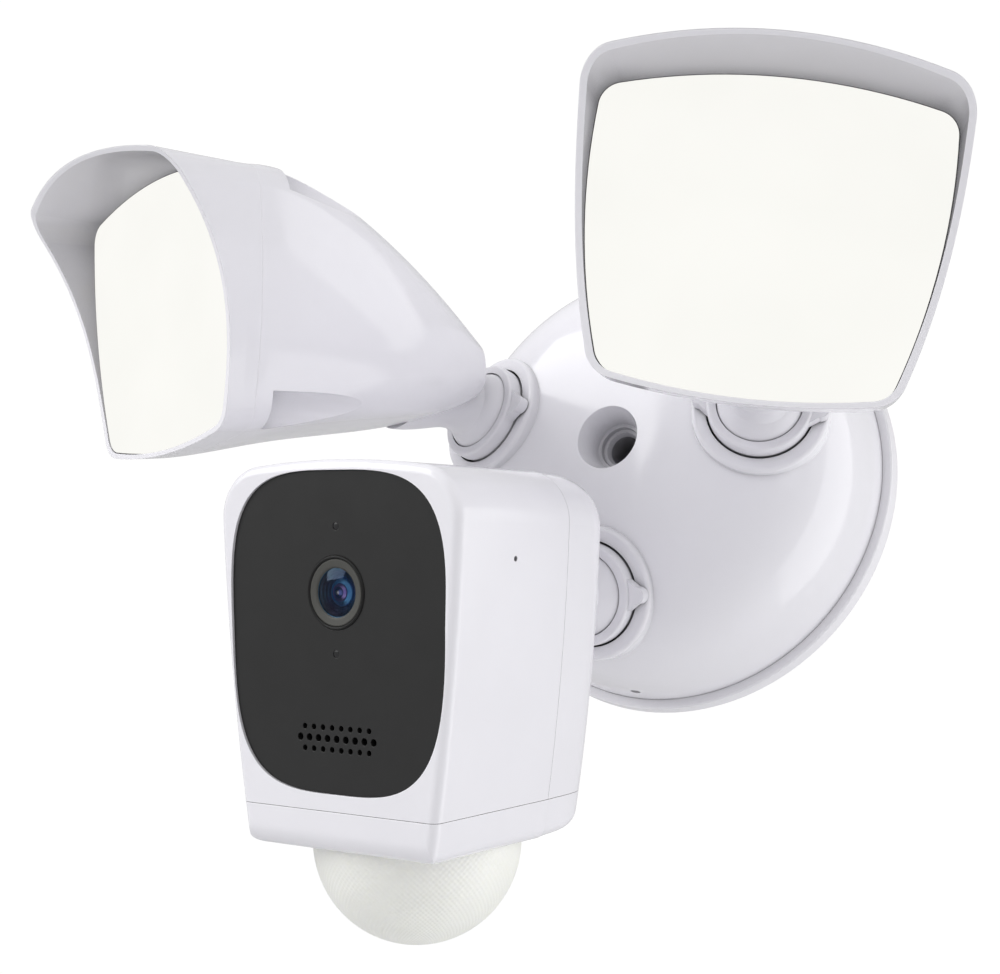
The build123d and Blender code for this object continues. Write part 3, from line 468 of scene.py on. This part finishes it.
def camera_place():
    """Frame of the camera's front face on the lens axis: side, up, forward."""
    upper = middle("status_light")
    lower = middle("light_sensor")
    board = middle("sensor_board")
    up = (upper - lower).normalized()
    out = (upper + lower) / 2 - board
    forward = (out - up * out.dot(up)).normalized()
    reach = out.dot(forward) + DOT_BELOW_FACE
    return Place(board + forward * reach, up.cross(forward), up, forward)


def lathe(profile, segments=96):
    """Surface of revolution about local z from (radius, height) points."""
    bm = bmesh.new()
    rings = []
    for radius, height in profile:
        if radius < 1e-7:
            rings.append([bm.verts.new((0.0, 0.0, height))])
            continue
        ring = []
        for step in range(segments):
            angle = 2 * pi * step / segments
            ring.append(bm.verts.new((radius * cos(angle), radius * sin(angle), height)))
        rings.append(ring)
    for lower, upper in zip(rings, rings[1:]):
        for step in range(segments):
            after = (step + 1) % segments
            if len(lower) == 1 and len(upper) == 1:
                continue
            if len(lower) == 1:
                bm.faces.new((lower[0], upper[after], upper[step]))
            elif len(upper) == 1:
                bm.faces.new((lower[step], lower[after], upper[0]))
            else:
                bm.faces.new((lower[step], lower[after], upper[after], upper[step]))
    bmesh.ops.recalc_face_normals(bm, faces=bm.faces)
    return bm


def mesh_of(bm, name, matrix=None):
    mesh = bpy.data.meshes.new(name)
    if matrix is not None:
        bmesh.ops.transform(bm, matrix=matrix, verts=bm.verts)
    bm.to_mesh(mesh)
    bm.free()
    for polygon in mesh.polygons:
        polygon.use_smooth = True
    return mesh


def added(name, mesh, material, body, stands_for=()):
    """A visible piece that moves with a CAD body and stands for CAD nodes."""
    piece = bpy.data.objects.new(name, mesh)
    mesh.materials.append(material)
    bpy.context.collection.objects.link(piece)
    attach(piece, body)
    if stands_for:
        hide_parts(*stands_for)
    return piece


def rounded(profile, radius, steps=4):
    """A profile whose inner corners are rounded by radius."""
    points = [profile[0]]
    for before, corner, after in zip(profile, profile[1:], profile[2:]):
        corner_v = Vector(corner)
        back = Vector(before) - corner_v
        on = Vector(after) - corner_v
        cut = min(radius, back.length * 0.45, on.length * 0.45)
        start = corner_v + back.normalized() * cut
        end = corner_v + on.normalized() * cut
        for step in range(steps + 1):
            share = step / steps
            curve = start * (1 - share) ** 2 + corner_v * (2 * share * (1 - share)) + end * share ** 2
            points.append((curve.x, curve.y))
    points.append(profile[-1])
    return points


# ============================================================================================
# Screws: pan heads with a cross recess and a rolled thread
# ============================================================================================
def islands(mesh):
    """Groups of vertex positions, one for each separate solid of a mesh."""
    bm = bmesh.new()
    bm.from_mesh(mesh)
    bmesh.ops.remove_doubles(bm, verts=bm.verts, dist=1e-6)
    seen = set()
    groups = []
    for seed in bm.verts:
        if seed in seen:
            continue
        seen.add(seed)
        queue = [seed]
        faces = set()
        spots = []
        while queue:
            vert = queue.pop()
            spots.append(vert.co.copy())
            faces.update(vert.link_faces)
            for edge in vert.link_edges:
                other = edge.other_vert(vert)
                if other not in seen:
                    seen.add(other)
                    queue.append(other)
        groups.append((spots, [(face.normal.copy(), face.calc_area()) for face in faces]))
    bm.free()
    return groups


def screw_place(spots, faces):
    """Where a screw sits: the centre of its head's top, its axis out of the head, and its sizes."""
    bins = []
    for normal, area in faces:
        for entry in bins:
            if abs(entry[0].dot(normal)) > 0.9995:
                entry[1] += area
                break
        else:
            bins.append([normal, area])
    axis = max(bins, key=lambda entry: entry[1])[0].normalized()
    middle_spot = sum(spots, Vector()) / len(spots)
    along = [(spot - middle_spot).dot(axis) for spot in spots]
    low, high = min(along), max(along)
    top = [spot for spot, height in zip(spots, along) if height > high - SCREW_LEVEL]
    centre = sum(top, Vector()) / len(top)
    across = [((spot - centre) - axis * (spot - centre).dot(axis)).length for spot in spots]
    top_reach = max(reach for reach, height in zip(across, along) if height > high - SCREW_LEVEL)
    foot_reach = max(reach for reach, height in zip(across, along) if height < low + SCREW_LEVEL)
    if foot_reach > top_reach:
        centre -= axis * (high - low)
        axis = -axis
        top_reach, foot_reach = foot_reach, top_reach
        along = [-height for height in along]
        low, high = -high, -low
    below = [(height, reach) for height, reach in zip(along, across) if height < high - SCREW_LEVEL]
    neck = max(height for height, reach in below if reach < foot_reach * 1.02)
    return centre, axis, top_reach, high - neck, foot_reach, high - low


def screw_head(radius, height):
    """Pan head with a cross-shaped recess, its top at z = 0."""
    shoulder = (radius * 0.97, -height * 0.42)
    profile = [(0.0, 0.0), (radius * 0.62, 0.0), shoulder, (radius, -height), (0.0, -height)]
    head = lathe(rounded(profile, radius * 0.2), 48)
    cutter = bmesh.new()
    arm = radius * 0.56
    half = radius * 0.105
    deep = height * 0.72
    # the three corners round one notch of the cross, turned into its four quarters
    outline = []
    for cosine, sine in ((1, 0), (0, 1), (-1, 0), (0, -1)):
        for x, y in ((arm, half), (half, half), (half, arm)):
            outline.append((x * cosine - y * sine, x * sine + y * cosine))
    top = [cutter.verts.new((x, y, 0.3 * MM)) for x, y in outline]
    foot = [cutter.verts.new((x * 0.55, y * 0.8, -deep)) for x, y in outline]
    cutter.faces.new(top)
    cutter.faces.new(foot[::-1])
    for index in range(len(outline)):
        after = (index + 1) % len(outline)
        cutter.faces.new((top[index], foot[index], foot[after], top[after]))
    bmesh.ops.recalc_face_normals(cutter, faces=cutter.faces)
    return carved(head, cutter)


def carved(solid, cutter):
    """solid minus cutter, as a new bmesh."""
    pair = []
    for bm, name in ((solid, "carved_solid"), (cutter, "carving_tool")):
        mesh = bpy.data.meshes.new(name)
        bm.to_mesh(mesh)
        bm.free()
        piece = bpy.data.objects.new(name, mesh)
        bpy.context.collection.objects.link(piece)
        pair.append(piece)
    cut = pair[0].modifiers.new("cut", "BOOLEAN")
    cut.operation = "DIFFERENCE"
    cut.solver = "EXACT"
    cut.object = pair[1]
    graph = bpy.context.evaluated_depsgraph_get()
    result = bmesh.new()
    result.from_mesh(bpy.data.meshes.new_from_object(pair[0].evaluated_get(graph)))
    for piece in pair:
        bpy.data.objects.remove(piece)
    return result


def thread(radius, start, length, pitch):
    """Threaded shank below z = start, with a short pointed foot."""
    bm = bmesh.new()
    segments = 20
    rows = max(8, int(length / pitch * 6))
    rings = []
    for row in range(rows + 1):
        height = start - length * row / rows
        taper = min(1.0, (rows - row) / (0.12 * rows) * 0.6 + 0.4)
        ring = []
        for step in range(segments):
            turn = step / segments
            phase = (height / pitch + turn) % 1.0
            crest = abs(phase - 0.5) * 2.0
            reach = radius * taper * (0.84 + 0.16 * crest)
            ring.append(bm.verts.new((reach * cos(2 * pi * turn), reach * sin(2 * pi * turn), height)))
        rings.append(ring)
    for upper, lower in zip(rings, rings[1:]):
        for step in range(segments):
            after = (step + 1) % segments
            bm.faces.new((upper[step], lower[step], lower[after], upper[after]))
    bm.faces.new(rings[0])
    bm.faces.new(rings[-1][::-1])
    bmesh.ops.recalc_face_normals(bm, faces=bm.faces)
    return bm


def make_screws(node, body, material):
    """Every screw of a group, each turned a little differently, in one piece."""
    joined = bmesh.new()
    cache = {}
    for index, (spots, faces) in enumerate(islands(nodes[node].data)):
        world = nodes[node].matrix_world
        spots = [world @ spot for spot in spots]
        turn_only = world.to_3x3()
        faces = [((turn_only @ normal).normalized(), area) for normal, area in faces]
        centre, axis, head_r, head_h, shank_r, length = screw_place(spots, faces)
        key = (round(head_r, 5), round(length, 5))
        if key not in cache:
            form = screw_head(head_r, head_h)
            shank = thread(shank_r, -head_h, length - head_h, SCREW_PITCH)
            kept = bpy.data.meshes.new("screw_form")
            part = bpy.data.meshes.new("screw_shank")
            shank.to_mesh(part)
            form.from_mesh(part)
            form.to_mesh(kept)
            form.free()
            shank.free()
            cache[key] = kept
        copy = bmesh.new()
        copy.from_mesh(cache[key])
        turn = Matrix.Rotation(SCREW_TURN * (index + 1), 4, "Z")
        place = Matrix.Translation(centre) @ axis.to_track_quat("Z", "Y").to_matrix().to_4x4() @ turn
        bmesh.ops.transform(copy, matrix=place, verts=copy.verts)
        moved = bpy.data.meshes.new("screw_moved")
        copy.to_mesh(moved)
        copy.free()
        joined.from_mesh(moved)
    mesh = bpy.data.meshes.new(f"{node}_cross")
    joined.to_mesh(mesh)
    joined.free()
    for polygon in mesh.polygons:
        polygon.use_smooth = polygon.area < SCREW_SMOOTH_AREA
    added(f"{node}_cross", mesh, material, body, (node,))


# ============================================================================================
# Camera optics and the motion sensor's lens
# ============================================================================================
def optic(name, profile, material, stands_for=()):
    """A turned piece on the lens axis, riding on the camera head."""
    mesh = mesh_of(lathe(profile), name, camera_place().matrix())
    added(name, mesh, material, "camera_head", stands_for)


def crowned(radius, crown, rim, steps):
    """Profile of a lens surface that stands crown above its rim, from the centre outwards."""
    points = []
    for step in range(steps + 1):
        reach = radius * step / steps
        points.append((reach, rim + crown * (1 - (reach / radius) ** 2)))
    return points


def make_bezel():
    black = moulded("bezel_black", (0.004, 0.004, 0.004), 0.5, peel=0.02, edge_highlight=1.0, specular=0.3)
    grey = moulded("trim_grey", (0.058, 0.058, 0.052), 0.6, peel=0.10)
    bezel = [
        (LENS_R, BEZEL_FOOT),
        (LENS_R, BEZEL_SHOULDER),
        (LENS_R - 0.3 * MM, BEZEL_PROUD),
        (TRIM_R + 0.35 * MM, BEZEL_PROUD),
        (TRIM_R, BEZEL_SHOULDER),
        (TRIM_R, TRIM_FOOT),
        (TRIM_R, BEZEL_FOOT),
        (LENS_R, BEZEL_FOOT),
    ]
    optic("lens_bezel", rounded(bezel, 0.12 * MM), black, ("lens_ring",))

    # the trim's front is cut with fine concentric grooves
    outer = TRIM_R - 0.05 * MM
    trim = [(outer, TRIM_FOOT), (outer, 0.12 * MM), (TRIM_R - 0.3 * MM, 0.2 * MM)]
    pitch = (TRIM_R - GLASS_R - 0.8 * MM) / TRIM_GROOVES
    for step in range(TRIM_GROOVES):
        radius = TRIM_R - 0.45 * MM - step * pitch
        trim += [(radius, (0.17 - 0.02 * step) * MM), (radius - 0.09 * MM, (0.13 - 0.02 * step) * MM)]
    trim += [(GLASS_R + 0.25 * MM, -0.02 * MM), (GLASS_R, -0.3 * MM), (GLASS_R, TRIM_FOOT)]
    optic("lens_trim", trim, grey)


def make_glass():
    # stepped inside of the barrel, seen through the front element
    well = [(GLASS_R - 0.02 * MM, -0.3 * MM)]
    for radius, depth in WELL_STEPS:
        well += [(radius + 0.25 * MM, -depth), (radius, -depth - 0.12 * MM)]
    well += [(0.0, -WELL_STEPS[-1][1] - 0.4 * MM)]
    sheen = coating("well_coating", (0.05, 0.14, 0.24), 0.34)
    optic("lens_well", rounded(well, 0.06 * MM), sheen, ("lens_barrel",))
    for name, radius, crown, depth, colour in ELEMENTS:
        cap = crowned(radius, crown, -depth, 12)
        cap += [(radius, -depth - ELEMENT_EDGE), (0.0, -depth - ELEMENT_EDGE)]
        optic(name, cap, coating(name + "_coating", colour))
    dome = []
    for step in range(17):
        reach = (GLASS_R - 0.05 * MM) * step / 16
        dome.append((reach, GLASS_RIM + GLASS_CROWN * (1 - (reach / GLASS_R) ** 2)))
    optic("lens_front", dome, coated_glass(), ("lens_glass",))


def make_windows():
    """Smoked windows of the status light and light sensor, almost flush with the black face."""
    place = camera_place()
    smoked = moulded("smoked_window", (0.008, 0.008, 0.009), 0.25, peel=0.01)
    window = [
        (0.0, -0.02 * MM),
        (WINDOW_R * 0.6, -0.035 * MM),
        (WINDOW_R - 0.1 * MM, -0.07 * MM),
        (WINDOW_R, -0.18 * MM),
        (WINDOW_R, WINDOW_FOOT),
        (0.0, WINDOW_FOOT),
    ]
    for node in ("status_light", "light_sensor"):
        rise = (middle(node) - place.origin).dot(place.axes[1])
        spot = Place(place.at(0, rise, 0), *place.axes)
        name = f"{node}_window"
        added(name, mesh_of(lathe(window, 48), name, spot.matrix()), smoked, "camera_head", (node,))


def milky_plastic():
    milky = Graph("pir_milky")
    cloud = milky.spread(milky.noise(11 * MM, detail=3.0), 0.0, 1.0)
    milky.link(milky.blend(cloud, PIR_WHITE, shade(PIR_WHITE, 1.04)), milky.shader.inputs["Base Color"])
    fine = milky.noise(0.3 * MM, detail=2.0)
    milky.link(milky.spread(fine, 0.34, 0.44), milky.shader.inputs["Roughness"])
    milky.bump(fine, 0.04, 0.05 * MM)
    milky.shader_values(Subsurface_Weight=0.25, Subsurface_Scale=1.5 * MM, Subsurface_Radius=(1.0, 1.0, 0.8))
    return milky.material


def make_motion_lens():
    """Milky dome whose skin is a fine lattice of lenslets, with a short straight skirt above it."""
    place = camera_place()
    side, up, forward = place.axes
    low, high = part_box("pir_lens")
    radius = (high[0] - low[0]) / 2
    centre = middle("pir_board") - up * PIR_BELOW_BOARD
    bm = bmesh.new()
    around = LENSLETS * LENSLET_STEPS
    down = around // 4
    rings = []
    for row in range(down):
        latitude = (pi / 2) * row / down - radians(PIR_OVERLAP)
        ring = []
        for step in range(around):
            angle = 2 * pi * step / around
            lattice = cos(LENSLETS * angle) * cos(LENSLETS * latitude)
            fade = min(1.0, max(0.0, cos(latitude) * 2.2 - 0.25))
            reach = radius - LENSLET_DEPTH * (1.0 - lattice) * fade
            flat = reach * cos(latitude) if latitude > 0 else reach
            drop = reach * sin(latitude) if latitude > 0 else radius * latitude
            ring.append(bm.verts.new(centre + (side * cos(angle) + forward * sin(angle)) * flat - up * drop))
        rings.append(ring)
    pole = bm.verts.new(centre - up * radius)
    for upper, lower in zip(rings, rings[1:]):
        for step in range(around):
            after = (step + 1) % around
            bm.faces.new((upper[step], lower[step], lower[after], upper[after]))
    for step in range(around):
        bm.faces.new((rings[-1][step], pole, rings[-1][(step + 1) % around]))
    bmesh.ops.recalc_face_normals(bm, faces=bm.faces)
    added("pir_lenslets", mesh_of(bm, "pir_lenslets"), milky_plastic(), "camera_head", ("pir_lens",))


# ============================================================================================
# The object
# ============================================================================================
def each_lamp(suffix):
    return [f"{lamp}_{suffix}" for lamp in LAMPS]


def finish_casings():
    # the white casings carry painted shade in their recesses and a painted highlight along their edges
    gloss = moulded("gloss_white", WHITE, 0.11, edge_highlight=1.12, recess_shade=0.74)
    satin = moulded("satin_white", JOINT_WHITE, 0.34, peel=0.04, recess_shade=0.4)
    flange = moulded("flange_white", FLANGE_WHITE, 0.24, recess_shade=0.3)
    clad(["base_dome", "front_shell", "rear_shell", "bottom_cover"], gloss)
    clad(each_lamp("housing") + each_lamp("hood"), gloss)
    clad(["back_plate"], flange)
    clad(each_lamp("neck") + ["camera_neck"], satin)
    clad([f"{head}_lock_ring" for head in HEADS], satin)
    clad([f"{head}_friction_cup" for head in HEADS], moulded("cup_nylon", (0.5, 0.5, 0.52), 0.5, peel=0.05))


def finish_seals_and_bracket():
    clad(["joint_seals"] + each_lamp("seal") + ["shell_seal"], rubber("seal_rubber", (0.02, 0.02, 0.022)))
    clad(["wall_gasket"], rubber("gasket_foam", (0.05, 0.05, 0.052), 0.9, 0.6 * MM, 0.8))
    clad(["supply_grommet"], rubber("grommet_rubber", (0.02, 0.02, 0.02), 0.5))
    clad(["junction_box_bracket"], metal("zinc_steel", (0.6, 0.61, 0.6), 0.38, size=1.5 * MM))


def finish_screws():
    steel = metal("screw_steel", (0.55, 0.55, 0.56), 0.3)
    make_screws("dome_screws", "base", steel)
    make_screws("board_screws", "base", steel)
    make_screws("shell_screws", "camera_head", steel)
    make_screws("neck_screws", "camera_head", steel)
    for lamp in LAMPS:
        make_screws(f"{lamp}_housing_screws", lamp, steel)


def finish_lamp_insides():
    clad(each_lamp("heat_sink"), metal("cast_aluminium", (0.72, 0.73, 0.74), 0.42, size=0.4 * MM))
    clad(each_lamp("diffuser"), lit_diffuser())
    for node in each_lamp("diffuser"):
        # the glow is dim beside the studio's lights: the hoods round it stay in half shade
        nodes[node].visible_diffuse = False
        nodes[node].visible_glossy = False


def finish_electronics():
    board = moulded("green_board", (0.02, 0.13, 0.06), 0.35)
    clad(["power_board", "main_board", "sensor_board", "pir_board", "wifi_antenna"], board)
    clad(each_lamp("led_board"), moulded("white_board", (0.8, 0.8, 0.78), 0.3))
    clad(each_lamp("leds"), moulded("led_package", (0.85, 0.7, 0.2), 0.3))
    clad(["transformer"], moulded("transformer_core", (0.05, 0.045, 0.04), 0.6))
    clad(["capacitors"], moulded("capacitor_sleeve", (0.03, 0.04, 0.1), 0.3))
    clad(["lamp_relay"], moulded("relay_case", (0.05, 0.12, 0.4), 0.3))
    clad(["terminal_block"], moulded("terminal_plastic", (0.03, 0.25, 0.12), 0.4))
    clad(["front_panel"], moulded("black_panel", (0.0118, 0.0118, 0.0118), 0.3, peel=0.02))
    clad(["speaker"], moulded("speaker_cone", (0.01, 0.01, 0.01), 0.8))
    clad(["microphone", "pir_sensor"], metal("sensor_can", (0.6, 0.58, 0.52), 0.3))
    clad(["pairing_button"], rubber("button_rubber", (0.5, 0.5, 0.52), 0.55))


make_camera()
make_stage()
make_lighting()
finish_casings()
finish_seals_and_bracket()
finish_screws()
finish_lamp_insides()
finish_electronics()
make_bezel()
make_glass()
make_windows()
make_motion_lens()
